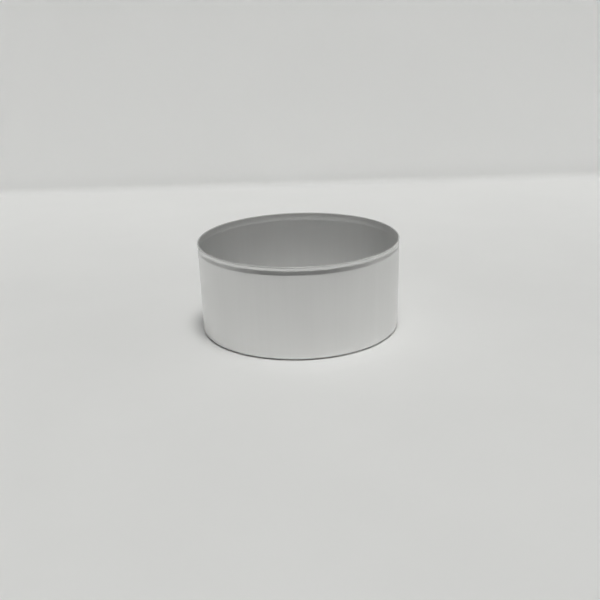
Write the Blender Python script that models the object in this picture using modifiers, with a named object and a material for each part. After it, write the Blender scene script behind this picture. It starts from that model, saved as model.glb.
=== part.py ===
"""Candle tin: an open, straight-walled round cup, deep drawn from one disc of aluminium sheet.

The base, the wall, the shoulder and the folded hem of a drawn cup are the same piece of metal, so the
model is the sheet's centre line turned round +Z and then thickened to the sheet's gauge.
Lengths are in metres. The origin is the centre of the standing ring's underside, and +Z is up.
"""

import math

import bmesh
import bpy

# Driving dimensions
RIM_DIAMETER = 0.0385  # outside of the hem
HEIGHT = 0.0175  # standing ring to the top of the hem
SHEET = 0.00013  # gauge of the aluminium sheet

# Rim: the edge is folded outwards and down, and the neck under it is set in so that the fold ends nearly flush
HEM_DEPTH = 0.00073  # top of the fold to the raw edge
HEM_GAP = 0.00006  # clear space between the two leaves at the top of the hem
HEM_LEAN = 0.000045  # how far the raw edge leans in towards the neck
HEM_PROUD = 0.000085  # how far the hem stands out from the wall below it
SHOULDER_START = 0.00045  # top of the fold to where the neck starts to widen
SHOULDER_END = 0.00161  # top of the fold to where the wall has its full width
SHOULDER_KNEE = 0.8  # share of the shoulder above its lower bend

# Wall and base
WALL_TAPER = 0.00018  # the wall's radius is this much smaller at the base
CORNER_RADIUS = 0.00066  # outside of the bend between wall and base
PANEL_RADIUS = 0.01300  # flat raised middle of the base
PANEL_RAISE = 0.00060  # underside of the panel above the standing ring
STEP_WIDTH = 0.00090  # run of the sloping step between panel and ring

# Fineness of the turned surface
TURN_STEPS = 72
FOLD_STEPS = 6
SHOULDER_STEPS = 10
CORNER_STEPS = 5
STEP_STEPS = 4
MERGE_DISTANCE = 1e-6

# Radii and heights of the sheet's centre line, worked out from the dimensions above
HALF_SHEET = SHEET / 2
LEAF_RADIUS = RIM_DIAMETER / 2 - HALF_SHEET
FOLD_RADIUS = (SHEET + HEM_GAP) / 2
FOLD_HEIGHT = HEIGHT - HALF_SHEET - FOLD_RADIUS
NECK_RADIUS = LEAF_RADIUS - 2 * FOLD_RADIUS
WALL_TOP_RADIUS = LEAF_RADIUS - HEM_PROUD
WALL_FOOT_RADIUS = WALL_TOP_RADIUS - WALL_TAPER
BEND_RADIUS = CORNER_RADIUS - HALF_SHEET
RING_HEIGHT = HALF_SHEET
PANEL_HEIGHT = PANEL_RAISE + HALF_SHEET


def remove_all_objects():
    for old in list(bpy.data.objects):
        bpy.data.objects.remove(old, do_unlink=True)


def arc(centre, radius, start, end, steps):
    """Points (r, z) on a round bend from angle start to angle end, in degrees from +r towards +z."""
    points = []
    for i in range(steps + 1):
        angle = math.radians(start + (end - start) * i / steps)
        points.append((centre[0] + radius * math.cos(angle), centre[1] + radius * math.sin(angle)))
    return points


def flare(start, end, steps, knee):
    """Points (r, z) that leave the start upright, spread more and more down to the knee, and end upright.
    The first point is left out."""
    points = []
    for i in range(1, steps + 1):
        share = i / steps
        spread = share ** 2 / knee if share < knee else 1 - (1 - share) ** 2 / (1 - knee)
        points.append((start[0] + (end[0] - start[0]) * spread, start[1] + (end[1] - start[1]) * share))
    return points


def step_down(outer, inner, steps):
    """Points (r, z) on an S-shaped bend whose ends are level in z, with the last point left out."""
    points = []
    for i in range(steps):
        share = i / steps
        swing = (1 - math.cos(math.pi * share)) / 2
        points.append((outer[0] + (inner[0] - outer[0]) * share, outer[1] + (inner[1] - outer[1]) * swing))
    return points


def sheet_centre_line():
    """The sheet from the hem's raw edge over the fold, down the wall and in to the centre of the base."""
    hem = [(LEAF_RADIUS - HEM_LEAN, HEIGHT - HEM_DEPTH)]
    hem += arc((LEAF_RADIUS - FOLD_RADIUS, FOLD_HEIGHT), FOLD_RADIUS, 0, 180, FOLD_STEPS)
    neck_foot = (NECK_RADIUS, HEIGHT - SHOULDER_START)
    wall_top = (WALL_TOP_RADIUS, HEIGHT - SHOULDER_END)
    shoulder = [neck_foot] + flare(neck_foot, wall_top, SHOULDER_STEPS, SHOULDER_KNEE)
    bend_centre = (WALL_FOOT_RADIUS - BEND_RADIUS, RING_HEIGHT + BEND_RADIUS)
    corner = arc(bend_centre, BEND_RADIUS, 0, -90, CORNER_STEPS)
    ring_inner = (PANEL_RADIUS + STEP_WIDTH, RING_HEIGHT)
    panel_edge = (PANEL_RADIUS, PANEL_HEIGHT)
    step = step_down(ring_inner, panel_edge, STEP_STEPS)
    return hem + shoulder + corner + step + [panel_edge, (0.0, PANEL_HEIGHT)]


def aluminium():
    """Bright rolled aluminium, slightly dulled by drawing."""
    material = bpy.data.materials.new("aluminium")
    material.use_nodes = True
    shader = material.node_tree.nodes["Principled BSDF"]
    shader.inputs["Base Color"].default_value = (0.80, 0.80, 0.79, 1.0)
    shader.inputs["Metallic"].default_value = 1.0
    shader.inputs["Roughness"].default_value = 0.38
    return material


def profile_mesh(name, points):
    """An open wire of points (r, z) in the XZ plane."""
    mesh = bpy.data.meshes.new(name)
    wire = bmesh.new()
    corners = [wire.verts.new((r, 0.0, z)) for r, z in points]
    for first, second in zip(corners, corners[1:]):
        wire.edges.new((first, second))
    wire.to_mesh(mesh)
    wire.free()
    return mesh


def drawn_cup(collection):
    """The whole tin: one sheet of even thickness."""
    mesh = profile_mesh("drawn_cup", sheet_centre_line())
    mesh.materials.append(aluminium())
    cup = bpy.data.objects.new("drawn_cup", mesh)
    collection.objects.link(cup)

    turn = cup.modifiers.new("Turn", "SCREW")
    turn.axis = "Z"
    turn.angle = 2 * math.pi
    turn.steps = TURN_STEPS
    turn.render_steps = TURN_STEPS
    turn.use_merge_vertices = True
    turn.merge_threshold = MERGE_DISTANCE
    turn.use_smooth_shade = True

    gauge = cup.modifiers.new("Gauge", "SOLIDIFY")
    gauge.thickness = SHEET
    gauge.offset = 0.0
    gauge.use_even_offset = True
    gauge.use_quality_normals = True
    gauge.use_rim = True
    return cup


def main():
    remove_all_objects()
    collection = bpy.data.collections.new("candle_tin")
    bpy.context.scene.collection.children.link(collection)
    drawn_cup(collection)


main()
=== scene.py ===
"""The looks of the candle tin: the cup in fine mesh, its metal, the pale stage, the light and the camera.

The cup is one sheet. Its centre line is turned round +Z with the small errors a press leaves (a wavy raw
edge, a puckered neck, a wall that isn't perfectly round), and a Solidify modifier gives it its gauge.
Lengths are in metres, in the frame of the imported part: +Z up, origin under the middle of the base.
Directions round the cup are in degrees from +X; the front, towards the camera, is at -90.
"""

import math

import bpy
import numpy as np
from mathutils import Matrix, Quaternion, Vector


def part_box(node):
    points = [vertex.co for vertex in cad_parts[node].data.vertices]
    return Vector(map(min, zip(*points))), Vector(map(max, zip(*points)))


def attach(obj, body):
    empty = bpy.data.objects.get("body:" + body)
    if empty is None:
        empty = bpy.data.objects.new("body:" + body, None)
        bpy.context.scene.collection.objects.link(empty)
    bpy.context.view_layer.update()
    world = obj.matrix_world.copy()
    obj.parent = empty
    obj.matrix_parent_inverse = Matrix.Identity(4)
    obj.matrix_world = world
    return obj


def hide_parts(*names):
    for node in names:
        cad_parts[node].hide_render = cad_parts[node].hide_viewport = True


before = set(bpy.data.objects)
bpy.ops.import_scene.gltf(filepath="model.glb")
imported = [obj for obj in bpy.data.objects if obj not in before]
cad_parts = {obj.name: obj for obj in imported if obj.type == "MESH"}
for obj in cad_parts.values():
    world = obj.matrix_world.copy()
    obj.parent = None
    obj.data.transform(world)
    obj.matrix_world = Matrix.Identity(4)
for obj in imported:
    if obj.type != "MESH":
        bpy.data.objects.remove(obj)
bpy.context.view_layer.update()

# The cup's outer size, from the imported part
LOW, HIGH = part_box("drawn_cup")
RIM_RADIUS = (HIGH.x - LOW.x) / 2
HEIGHT = HIGH.z - LOW.z

# The rest of its shape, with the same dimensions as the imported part
SHEET = 0.00013  # gauge of the aluminium sheet
HEM_DEPTH = 0.00073  # top of the fold to the raw edge
HEM_GAP = 0.00006  # clear space between the two leaves at the top of the hem
HEM_PROUD = 0.000085  # how far the hem stands out from the wall below it
HEM_LEAN = 0.000045  # how far the raw edge leans in towards the neck
SHOULDER_START = 0.00045  # top of the fold to where the neck starts to widen
SHOULDER_END = 0.00161  # top of the fold to where the wall has its full width
SHOULDER_KNEE = 0.8  # share of the shoulder above its lower bend
WALL_TAPER = 0.00018  # the wall's radius is this much smaller at the base
CORNER_RADIUS = 0.00066  # outside of the bend between wall and base
PANEL_RADIUS = 0.01300  # flat raised middle of the base
PANEL_RAISE = 0.00060  # underside of the panel above the standing ring
STEP_WIDTH = 0.00090  # run of the sloping step between panel and ring

# Radii and heights of the sheet's centre line
HALF_SHEET = SHEET / 2
LEAF_RADIUS = RIM_RADIUS - HALF_SHEET
FOLD_RADIUS = (SHEET + HEM_GAP) / 2
FOLD_HEIGHT = HEIGHT - HALF_SHEET - FOLD_RADIUS
NECK_RADIUS = LEAF_RADIUS - 2 * FOLD_RADIUS
WALL_TOP_RADIUS = LEAF_RADIUS - HEM_PROUD
WALL_FOOT_RADIUS = WALL_TOP_RADIUS - WALL_TAPER
BEND_RADIUS = CORNER_RADIUS - HALF_SHEET
RING_HEIGHT = HALF_SHEET
PANEL_HEIGHT = PANEL_RAISE + HALF_SHEET

# Fineness of the mesh: steps round the cup, then along each stretch of the centre line
TURN_STEPS = 400
LEAF_STEPS = 4
FOLD_STEPS = 14
NECK_STEPS = 3
SHOULDER_STEPS = 16
WALL_STEPS = 30
CORNER_STEPS = 10
RING_STEPS = 4
STEP_STEPS = 10
PANEL_STEPS = 8

# Small errors of the pressing
OVAL_SWING = 0.00002  # half of the difference between the widest and the narrowest rim radius
OVAL_AZIMUTH = 25.0  # direction of the widest radius, in degrees
WALL_CALM = 0.004  # height over which the waves of the wall grow from nothing at the base
PUCKER_HALF_HEIGHT = 0.00040

# Waves a turn, swing and phase
EDGE_WAVES = ((7, 0.000012, 0.4), (17, 0.000010, 2.1), (29, 0.000007, 4.0))
WALL_WAVES = ((5, 0.000010, 1.0), (11, 0.000006, 3.3), (19, 0.000004, 5.2))

# Azimuth and half width in degrees, then how far the neck under the hem is pushed in
PUCKERS = ((-143, 1.5, 0.00005), (-137, 1.0, -0.00004), (-130.5, 1.5, 0.00005), (-125, 1.2, -0.00004),
           (-119, 1.3, 0.00003), (-84.3, 0.8, -0.00005), (-81.5, 0.7, 0.00003), (-62, 1.5, -0.00003),
           (-35, 1.6, 0.00003), (28, 2.0, 0.00004), (61, 1.4, 0.00003), (148, 1.8, 0.00004))

# Azimuth in degrees, then height, half width round the wall, half width up the wall and depth
DENTS = ((-137, 0.0110, 0.0006, 0.0008, 0.000018), (-135, 0.0055, 0.0008, 0.0030, 0.000022),
         (-52, 0.0068, 0.0012, 0.0022, 0.000014), (17, 0.0092, 0.0015, 0.0025, 0.000022),
         (96, 0.0060, 0.0011, 0.0028, 0.000020))

# Finish of the metal: tone, roughness of the matt and of the polished finish, share of the polished one
OUTSIDE = (0.78, 0.40, 0.14, 0.36)
# The inside's lower tone is painted shade for the cup's interior; its rougher finish is the metal's own
INSIDE = (0.73, 0.58, 0.33, 0.36)
HEM = (0.80, 0.40, 0.14, 0.60)  # the inside face of the sheet, burnished where it comes round the fold
HEM_FINISH_FROM = 0.00012  # in from the outside of the rim, where the hem's finish starts
HEM_FINISH_FULL = 0.00008  # in from the outside of the rim, where it has fully taken over
BEND_DULL_FROM = 0.00014  # below the top of the rim, where the bend starts to look dull
BEND_DULL_FULL = 0.00007  # below the top of the rim, above which it is fully dull
BEND_ROUGHNESS = 0.75
BEND_PAINTED_SHADE = 0.85  # tone of the dull bend, as a share of the metal's tone: painted shade that damps the lamp's glint on the rim
BASE_ROUGHNESS = 0.72  # on the level parts, which keep the dull face of the rolled sheet
LEVEL_LIFT = (0.5, 0.9)  # upright part of the normal where a surface starts to count as level and fully does
BLUE_SHARE = 0.995  # blue as a share of red and green, which makes the metal very slightly warm
INSIDE_OFFSET = 0.1  # moves the patterns of the inside, so that they don't match those of the outside

# Patterns: features a metre, stretch along X, Y and Z, and detail
DRAWN_GRAIN = (2000.0, (1, 1, 45), 3.0)
ROLLED_GRAIN = (2000.0, (70, 1, 1), 3.0)
BROAD_STREAKS = (260.0, (1, 1, 9), 2.0)
SMUDGES = (130.0, (1, 1, 1), 4.0)
MOTTLE = (40.0, (1, 1, 1), 5.0)

# Span of the noise that is used, and how far each pattern swings the roughness or the tone either way
NOISE_SPAN = (0.3, 0.7)
SMUDGE_SPAN = (0.35, 0.7)
SMUDGE_ROUGHNESS_SWING = 0.02
GRAIN_ROUGHNESS_SWING = 0.012
STREAK_TONE_SWING = 0.01
GRAIN_TONE_SWING = 0.007
MOTTLE_TONE_SWING = 0.008

# The camera looks along +Y and down at the cup, with a slight tilt of the hand
LENS_MM = 54.0
SENSOR_MM = 36.0
CAMERA_PITCH = math.radians(19.59)
CAMERA_ROLL = math.radians(1.70)
CAMERA_DISTANCE = 9.152 * RIM_RADIUS
AIM_HEIGHT = 0.2455 * RIM_RADIUS
CLIP_START = 0.001
CLIP_END = 10.0

# Stage: the tones are of the boards, near the cup and at their far end. The floor's rise in tone towards the
# back is painted light
BOARD_ROUGHNESS = 0.9
FLOOR_REACH = 1.5
FLOOR_TONES_WITH_PAINTED_LIGHT = (0.78, 0.858)
BACKDROP_DISTANCE = 0.1235
BACKDROP_FILLET = 0.0025
BACKDROP_HALF_WIDTH = 0.27
BACKDROP_HEIGHT = 0.15
# The backdrop's glow is painted light: the board glows, though it is no lamp
BACKDROP_GLOW = 0.155
FILLET_STEPS = 8
FLAG_DISTANCE = 0.08  # from the middle of the cup to the flag's inner edge
FLAG_LIFT = 0.0005
# The flag's tones are painted shade, seen only in the metal's reflections: dark in front of the cup, paler
# behind
FLAG_TONES = (0.18, 0.50)
FLAG_STEPS = 96

# Light: azimuth, elevation and spread of each lamp in degrees, and its strength
LIGHT_TINT = (0.995, 1.0, 0.976)
LAMPS = (
    (-70, 81, 5.5, 38.0),  # the key, high over the front of the cup
    (195, 4, 18, 0.50),  # a low glow at the left
    (-5, 9, 30, 0.55),  # a low glow at the right
    (-90, 8, 15, 0.10),  # a faint glow in front
)
ROOM_STRENGTH = 0.03  # from every direction
BACKGROUND_TONE = 0.61  # what the camera sees beyond the stage


def line(start, end, steps):
    """Points (r, z) on a straight run, with the first point left out."""
    points = []
    for i in range(1, steps + 1):
        share = i / steps
        points.append((start[0] + (end[0] - start[0]) * share, start[1] + (end[1] - start[1]) * share))
    return points


def arc(centre, radius, start, end, steps):
    """Points (r, z) on a round bend, in degrees from +r towards +z, with the first point left out."""
    points = []
    for i in range(1, steps + 1):
        angle = math.radians(start + (end - start) * i / steps)
        points.append((centre[0] + radius * math.cos(angle), centre[1] + radius * math.sin(angle)))
    return points


def s_bend(start, end, steps):
    """Points (r, z) on an S-shaped step whose ends run level, with the first point left out."""
    points = []
    for i in range(1, steps + 1):
        share = i / steps
        swing = (1 - math.cos(math.pi * share)) / 2
        points.append((start[0] + (end[0] - start[0]) * share, start[1] + (end[1] - start[1]) * swing))
    return points


def flare(start, end, steps, knee):
    """Points (r, z) that leave the start upright, spread more and more down to the knee, and end upright.
    The first point is left out."""
    points = []
    for i in range(1, steps + 1):
        share = i / steps
        spread = share ** 2 / knee if share < knee else 1 - (1 - share) ** 2 / (1 - knee)
        points.append((start[0] + (end[0] - start[0]) * spread, start[1] + (end[1] - start[1]) * share))
    return points


def sheet_centre_line():
    """The sheet from the hem's raw edge over the fold, down the wall and in to the last ring of the base."""
    raw_edge = (LEAF_RADIUS - HEM_LEAN, HEIGHT - HEM_DEPTH)
    fold_start = (LEAF_RADIUS, FOLD_HEIGHT)
    fold_centre = (LEAF_RADIUS - FOLD_RADIUS, FOLD_HEIGHT)
    neck_top = (NECK_RADIUS, FOLD_HEIGHT)
    neck_foot = (NECK_RADIUS, HEIGHT - SHOULDER_START)
    wall_top = (WALL_TOP_RADIUS, HEIGHT - SHOULDER_END)
    wall_foot = (WALL_FOOT_RADIUS, RING_HEIGHT + BEND_RADIUS)
    bend_centre = (WALL_FOOT_RADIUS - BEND_RADIUS, RING_HEIGHT + BEND_RADIUS)
    ring_outer = (WALL_FOOT_RADIUS - BEND_RADIUS, RING_HEIGHT)
    ring_inner = (PANEL_RADIUS + STEP_WIDTH, RING_HEIGHT)
    panel_edge = (PANEL_RADIUS, PANEL_HEIGHT)
    last_ring = (PANEL_RADIUS / PANEL_STEPS, PANEL_HEIGHT)
    points = [raw_edge]
    points += line(raw_edge, fold_start, LEAF_STEPS)
    points += arc(fold_centre, FOLD_RADIUS, 0, 180, FOLD_STEPS)
    points += line(neck_top, neck_foot, NECK_STEPS)
    points += flare(neck_foot, wall_top, SHOULDER_STEPS, SHOULDER_KNEE)
    points += line(wall_top, wall_foot, WALL_STEPS)
    points += arc(bend_centre, BEND_RADIUS, 0, -90, CORNER_STEPS)
    points += line(ring_outer, ring_inner, RING_STEPS)
    points += s_bend(ring_inner, panel_edge, STEP_STEPS)
    points += line(panel_edge, last_ring, PANEL_STEPS - 1)
    return np.array(points)


def smooth_step(value, low, high):
    """Rises smoothly from 0 at low to 1 at high."""
    share = np.clip((value - low) / (high - low), 0, 1)
    return share * share * (3 - 2 * share)


def waves(angles, table):
    """Sum of sine waves round the cup. The table gives waves a turn, swing and phase."""
    total = np.zeros_like(angles)
    for count, swing, phase in table:
        total += swing * np.sin(count * angles + phase)
    return total


def turn_away(angles, azimuth):
    """Angle in degrees from an azimuth, from -180 to 180."""
    return (np.degrees(angles) - azimuth + 180) % 360 - 180


def press_errors(height, angles):
    """Changes of radius and height that make the turned sheet look pressed. The arrays are rings by steps.
    The oval grows from base to rim, the puckers are in the neck and the edge waves in the outer leaf."""
    upper = smooth_step(height, 0, HEIGHT)
    wall = smooth_step(height, 0, WALL_CALM)
    wall *= smooth_step(-height, -HEIGHT + SHOULDER_START, -HEIGHT + SHOULDER_END)
    neck = np.exp(-((height - HEIGHT + HEM_DEPTH) / PUCKER_HALF_HEIGHT) ** 2)
    neck[:LEAF_STEPS + FOLD_STEPS] = 0
    leaf = np.zeros_like(height)
    leaf[:LEAF_STEPS + 1] = np.linspace(1, 0, LEAF_STEPS + 1)[:, None]

    more_radius = OVAL_SWING * np.cos(2 * (angles - math.radians(OVAL_AZIMUTH))) * upper
    more_radius += waves(angles, WALL_WAVES) * wall
    for azimuth, half_width, push in PUCKERS:
        more_radius -= push * np.exp(-(turn_away(angles, azimuth) / half_width) ** 2) * neck
    for azimuth, middle, half_width, half_height, depth in DENTS:
        across = np.radians(turn_away(angles, azimuth)) * RIM_RADIUS / half_width
        along = (height - middle) / half_height
        more_radius -= depth * np.exp(-across ** 2 - along ** 2) * wall
    more_height = waves(angles, EDGE_WAVES) * leaf
    return more_radius, more_height


def sheet_mesh(name):
    """The turned centre line as one open mesh, closed in the middle of the base by a fan."""
    profile = sheet_centre_line()
    rings = len(profile)
    angles = np.arange(TURN_STEPS) * 2 * math.pi / TURN_STEPS
    angles = np.repeat(angles[None, :], rings, axis=0)
    radius = np.repeat(profile[:, 0][:, None], TURN_STEPS, axis=1)
    height = np.repeat(profile[:, 1][:, None], TURN_STEPS, axis=1)
    more_radius, more_height = press_errors(height, angles)
    radius += more_radius
    height += more_height
    points = np.stack([radius * np.cos(angles), radius * np.sin(angles), height], axis=2).reshape(-1, 3)
    points = np.vstack([points, [0.0, 0.0, PANEL_HEIGHT]])
    pole = len(points) - 1
    faces = []
    for i in range(rings - 1):
        upper = i * TURN_STEPS
        lower = upper + TURN_STEPS
        for k in range(TURN_STEPS):
            after = (k + 1) % TURN_STEPS
            faces.append((upper + k, lower + k, lower + after, upper + after))
    last = (rings - 1) * TURN_STEPS
    for k in range(TURN_STEPS):
        faces.append((last + k, pole, last + (k + 1) % TURN_STEPS))
    mesh = bpy.data.meshes.new(name)
    mesh.from_pydata(points.tolist(), [], faces)
    mesh.shade_smooth()
    return mesh


class Nodes:
    """A node tree with short ways to add nodes and join them. A value is a number, a tuple or an output."""

    def __init__(self, tree):
        self.tree = tree

    def add(self, kind, inputs=None, **settings):
        """A new node with these settings, whose inputs are fed by name or by place."""
        node = self.tree.nodes.new(kind)
        for key, value in settings.items():
            setattr(node, key, value)
        for key, value in (inputs or {}).items():
            self.feed(node.inputs[key], value)
        return node

    def feed(self, socket, value):
        if isinstance(value, bpy.types.NodeSocket):
            self.tree.links.new(value, socket)
        else:
            socket.default_value = value

    def maths(self, operation, *values):
        node = self.add("ShaderNodeMath", operation=operation)
        for i, value in enumerate(values):
            self.feed(node.inputs[i], value)
        return node.outputs[0]

    def remap(self, value, low, high, to_low, to_high):
        """Goes smoothly from to_low to to_high while the value goes from low to high, and is level outside."""
        node = self.add("ShaderNodeMapRange", {"Value": value, "From Min": low, "From Max": high,
                                               "To Min": to_low, "To Max": to_high})
        node.interpolation_type = "SMOOTHSTEP"
        return node.outputs["Result"]

    def noise(self, vector, scale, stretch, detail):
        """Noise from 0 to 1 whose features are about 1 / scale metres across, times stretch."""
        squeeze = tuple(1 / part for part in stretch)
        mapped = self.add("ShaderNodeVectorMath", {0: vector, 1: squeeze}, operation="MULTIPLY")
        node = self.add("ShaderNodeTexNoise", {"Vector": mapped.outputs[0], "Scale": scale, "Detail": detail})
        return node.outputs["Fac"]

    def sway(self, noise, span, middle, swing):
        """A number that sways with the noise, by the swing to either side of its middle."""
        return self.remap(noise, *span, middle - swing, middle + swing)

    def blend(self, share, first, second):
        """The first number where the share is 0 and the second where it is 1."""
        node = self.add("ShaderNodeMix", {"Factor": share, "A": first, "B": second})
        return node.outputs["Result"]


def aluminium(name, finish, hem_finish, offset):
    """Rolled and drawn aluminium: drawing lines up the wall, rolling lines across the level parts, broad
    streaks, faint smudges and a duller bend at the rim, whose darker tone is painted shade. Under a lens it is
    matt with burnished high spots, so a matt and a polished finish are mixed. The hem's finish takes over on
    the outside of the hem."""
    material = bpy.data.materials.new(name)
    material.use_nodes = True
    nodes = Nodes(material.node_tree)
    output = material.node_tree.nodes["Material Output"]
    material.node_tree.nodes.remove(material.node_tree.nodes["Principled BSDF"])
    centred = nodes.add("ShaderNodeTexCoord").outputs["Object"]
    place = nodes.add("ShaderNodeVectorMath", {0: centred, 1: (0.0, 0.0, offset)}, operation="ADD").outputs[0]

    parts = nodes.add("ShaderNodeSeparateXYZ", {0: centred}).outputs
    height = parts["Z"]
    squares = [nodes.maths("MULTIPLY", parts[axis], parts[axis]) for axis in ("X", "Y")]
    radius = nodes.maths("SQRT", nodes.maths("ADD", *squares))
    hem = nodes.remap(radius, RIM_RADIUS - HEM_FINISH_FROM, RIM_RADIUS - HEM_FINISH_FULL, 0.0, 1.0)
    tone, matt, polished, share = [nodes.blend(hem, *pair) for pair in zip(finish, hem_finish)]
    normal = nodes.add("ShaderNodeNewGeometry").outputs["Normal"]
    lift = nodes.add("ShaderNodeSeparateXYZ", {0: normal}).outputs["Z"]
    level = nodes.remap(nodes.maths("ABSOLUTE", lift), *LEVEL_LIFT, 0.0, 1.0)
    bend = nodes.remap(height, HEIGHT - BEND_DULL_FROM, HEIGHT - BEND_DULL_FULL, 0.0, 1.0)

    drawn = nodes.noise(place, *DRAWN_GRAIN)
    rolled = nodes.noise(place, *ROLLED_GRAIN)
    grain = nodes.blend(level, drawn, rolled)
    broad = nodes.noise(place, *BROAD_STREAKS)
    smudge = nodes.noise(place, *SMUDGES)

    smudge_wear = nodes.sway(smudge, SMUDGE_SPAN, 0.0, SMUDGE_ROUGHNESS_SWING)
    grain_wear = nodes.sway(grain, NOISE_SPAN, 0.0, GRAIN_ROUGHNESS_SWING)
    wear = nodes.maths("ADD", smudge_wear, grain_wear)
    shade = nodes.maths("MULTIPLY", nodes.sway(broad, NOISE_SPAN, 1.0, STREAK_TONE_SWING), tone)
    shade = nodes.maths("MULTIPLY", nodes.sway(grain, NOISE_SPAN, 1.0, GRAIN_TONE_SWING), shade)
    # Painted shade: the tone drops on the bend at the rim, which damps the lamp's glint there
    shade = nodes.maths("MULTIPLY", nodes.blend(bend, 1.0, BEND_PAINTED_SHADE), shade)
    blue = nodes.maths("MULTIPLY", shade, BLUE_SHARE)
    colour = nodes.add("ShaderNodeCombineColor", {"Red": shade, "Green": shade, "Blue": blue}).outputs[0]

    matt = nodes.maths("ADD", wear, nodes.blend(level, matt, BASE_ROUGHNESS))
    matt = nodes.blend(bend, matt, BEND_ROUGHNESS)
    polished = nodes.maths("ADD", wear, polished)
    share = nodes.blend(nodes.maths("MAXIMUM", bend, level), share, 0.0)
    finishes = []
    for roughness in (matt, polished):
        metal = {"Base Color": colour, "Metallic": 1.0, "Roughness": roughness}
        finishes.append(nodes.add("ShaderNodeBsdfPrincipled", metal).outputs[0])
    mixed = nodes.add("ShaderNodeMixShader", {"Fac": share, 1: finishes[0], 2: finishes[1]})
    nodes.feed(output.inputs["Surface"], mixed.outputs[0])
    return material


def build_cup():
    """The whole tin: one sheet of even thickness, with one material for each of its faces."""
    mesh = sheet_mesh("drawn_cup_sheet")
    cup = bpy.data.objects.new("drawn_cup_sheet", mesh)
    bpy.context.scene.collection.objects.link(cup)
    mesh.materials.append(aluminium("satin_aluminium_outside", OUTSIDE, OUTSIDE, 0.0))
    mesh.materials.append(aluminium("satin_aluminium_inside", INSIDE, HEM, INSIDE_OFFSET))
    gauge = cup.modifiers.new("Gauge", "SOLIDIFY")
    gauge.thickness = SHEET
    gauge.offset = 0.0
    gauge.use_even_offset = True
    gauge.use_quality_normals = True
    gauge.use_rim = True
    gauge.material_offset = 1
    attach(cup, "root")
    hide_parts("drawn_cup")


def build_camera():
    """The camera in front of the cup, aimed at a point on its axis."""
    view = Vector((0, math.cos(CAMERA_PITCH), -math.sin(CAMERA_PITCH)))
    data = bpy.data.cameras.new("camera")
    data.lens = LENS_MM
    data.sensor_width = SENSOR_MM
    data.clip_start = CLIP_START
    data.clip_end = CLIP_END
    camera = bpy.data.objects.new("camera", data)
    bpy.context.scene.collection.objects.link(camera)
    camera.location = Vector((0, 0, AIM_HEIGHT)) - view * CAMERA_DISTANCE
    camera.rotation_mode = "QUATERNION"
    camera.rotation_quaternion = Quaternion(view, CAMERA_ROLL) @ view.to_track_quat("-Z", "Y")
    bpy.context.scene.camera = camera


def extrude_along_x(name, profile, half_width):
    """A mesh whose outline (y, z) runs straight along X."""
    points = [(x, y, z) for x in (-half_width, half_width) for y, z in profile]
    count = len(profile)
    faces = [(i, i + count, i + count + 1, i + 1) for i in range(count - 1)]
    mesh = bpy.data.meshes.new(name)
    mesh.from_pydata(points, [], faces)
    mesh.shade_smooth()
    return mesh


def board(name, tones, front, back, glow=0.0):
    """Matt board with a barely visible mottle. Its tone changes smoothly between two places along Y: on the
    floor this rise towards the back is painted light, and on the flag the dark front is painted shade. The
    glow, which is full above the fillet, is painted light on the backdrop, which is no lamp."""
    material = bpy.data.materials.new(name)
    material.use_nodes = True
    nodes = Nodes(material.node_tree)
    shader = material.node_tree.nodes["Principled BSDF"]
    place = nodes.add("ShaderNodeTexCoord").outputs["Object"]
    parts = nodes.add("ShaderNodeSeparateXYZ", {0: place}).outputs
    mottle = nodes.sway(nodes.noise(place, *MOTTLE), NOISE_SPAN, 1.0, MOTTLE_TONE_SWING)
    # On the floor, the rise of tone towards the back is painted light; on the flag, the dark front is painted
    # shade seen in reflections
    shade = nodes.maths("MULTIPLY", nodes.remap(parts["Y"], front, back, *tones), mottle)
    colour = nodes.add("ShaderNodeCombineColor", {"Red": shade, "Green": shade, "Blue": shade}).outputs[0]
    nodes.feed(shader.inputs["Base Color"], colour)
    nodes.feed(shader.inputs["Roughness"], BOARD_ROUGHNESS)
    nodes.feed(shader.inputs["Specular IOR Level"], 0.0)
    nodes.feed(shader.inputs["Emission Color"], (*LIGHT_TINT, 1.0))
    # Painted light: the backdrop glows above its fillet
    nodes.feed(shader.inputs["Emission Strength"], nodes.remap(parts["Z"], 0.0, BACKDROP_FILLET, 0.0, glow))
    return material


def build_stage():
    """The floor, and behind the cup a backdrop that rises from it in a small fillet. The backdrop throws no
    diffuse light on anything else."""
    floor = extrude_along_x("floor", [(-FLOOR_REACH, 0.0), (FLOOR_REACH, 0.0)], FLOOR_REACH)
    floor.materials.append(board("pale_floor", FLOOR_TONES_WITH_PAINTED_LIGHT, 0.0, BACKDROP_DISTANCE))
    fillet_start = (BACKDROP_DISTANCE - BACKDROP_FILLET, 0.0)
    fillet_centre = (BACKDROP_DISTANCE - BACKDROP_FILLET, BACKDROP_FILLET)
    fillet = [fillet_start] + arc(fillet_centre, BACKDROP_FILLET, -90, 0, FILLET_STEPS)
    top = (BACKDROP_DISTANCE, BACKDROP_HEIGHT)
    backdrop = extrude_along_x("backdrop", fillet + [top], BACKDROP_HALF_WIDTH)
    backdrop.materials.append(board("pale_backdrop", FLOOR_TONES_WITH_PAINTED_LIGHT, 0.0, BACKDROP_DISTANCE, BACKDROP_GLOW))
    for mesh, lights_others in ((floor, True), (backdrop, False)):
        sheet = bpy.data.objects.new(mesh.name, mesh)
        bpy.context.scene.collection.objects.link(sheet)
        sheet.visible_diffuse = lights_others


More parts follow.
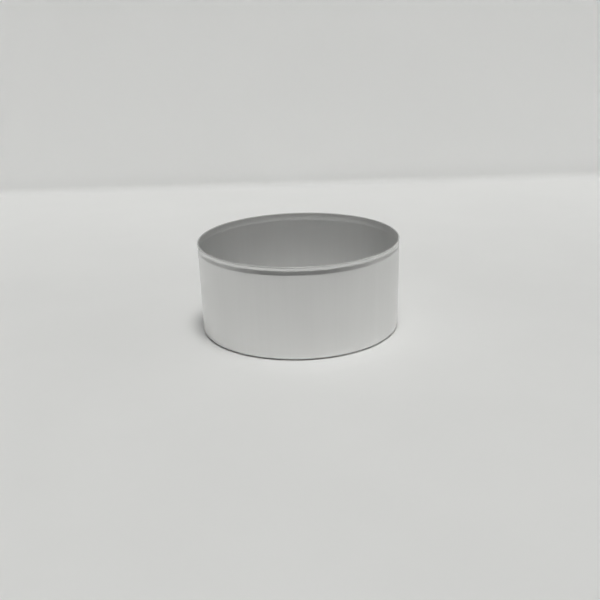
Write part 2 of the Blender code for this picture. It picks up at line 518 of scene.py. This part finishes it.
def build_flag():
    """A grey sheet just over the floor all round the cup, seen only by reflections, as a flag in a studio:
    painted shade in the metal's reflections of the floor, darkest in front.
    """
    angles = [2 * math.pi * k / FLAG_STEPS for k in range(FLAG_STEPS)]
    points = []
    for radius in (FLAG_DISTANCE, FLOOR_REACH):
        for angle in angles:
            points.append((radius * math.cos(angle), radius * math.sin(angle), FLAG_LIFT))
    faces = []
    for k in range(FLAG_STEPS):
        after = (k + 1) % FLAG_STEPS
        faces.append((k, k + FLAG_STEPS, after + FLAG_STEPS, after))
    mesh = bpy.data.meshes.new("flag")
    mesh.from_pydata(points, [], faces)
    mesh.materials.append(board("painted_shade_flag_board", FLAG_TONES, -FLAG_DISTANCE, 0.0))
    flag = bpy.data.objects.new("flag", mesh)
    bpy.context.scene.collection.objects.link(flag)
    flag.visible_camera = False
    flag.visible_diffuse = False
    flag.visible_shadow = False


def direction(azimuth, elevation):
    """The unit vector in a direction given in degrees."""
    azimuth = math.radians(azimuth)
    elevation = math.radians(elevation)
    flat = math.cos(elevation)
    return (flat * math.cos(azimuth), flat * math.sin(azimuth), math.sin(elevation))


def build_light():
    """Soft lamps in a dim room, all far away. The camera sees a plain pale background instead of the room."""
    world = bpy.data.worlds.new("studio")
    bpy.context.scene.world = world
    world.use_nodes = True
    nodes = Nodes(world.node_tree)
    background = world.node_tree.nodes["Background"]
    ray = nodes.add("ShaderNodeTexCoord").outputs["Generated"]
    light = ROOM_STRENGTH
    for azimuth, elevation, spread, strength in LAMPS:
        towards = nodes.add("ShaderNodeVectorMath", {0: ray, 1: direction(azimuth, elevation)},
                            operation="DOT_PRODUCT").outputs["Value"]
        fall = nodes.maths("DIVIDE", nodes.maths("SUBTRACT", towards, 1.0), math.radians(spread) ** 2)
        light = nodes.maths("MULTIPLY_ADD", nodes.maths("EXPONENT", fall), strength, light)
    seen = nodes.add("ShaderNodeLightPath").outputs["Is Camera Ray"]
    nodes.feed(background.inputs["Color"], (*LIGHT_TINT, 1.0))
    nodes.feed(background.inputs["Strength"], nodes.blend(seen, light, BACKGROUND_TONE))


build_cup()
build_camera()
build_stage()
build_flag()
build_light()
bpy.context.scene.view_settings.view_transform = "Standard"
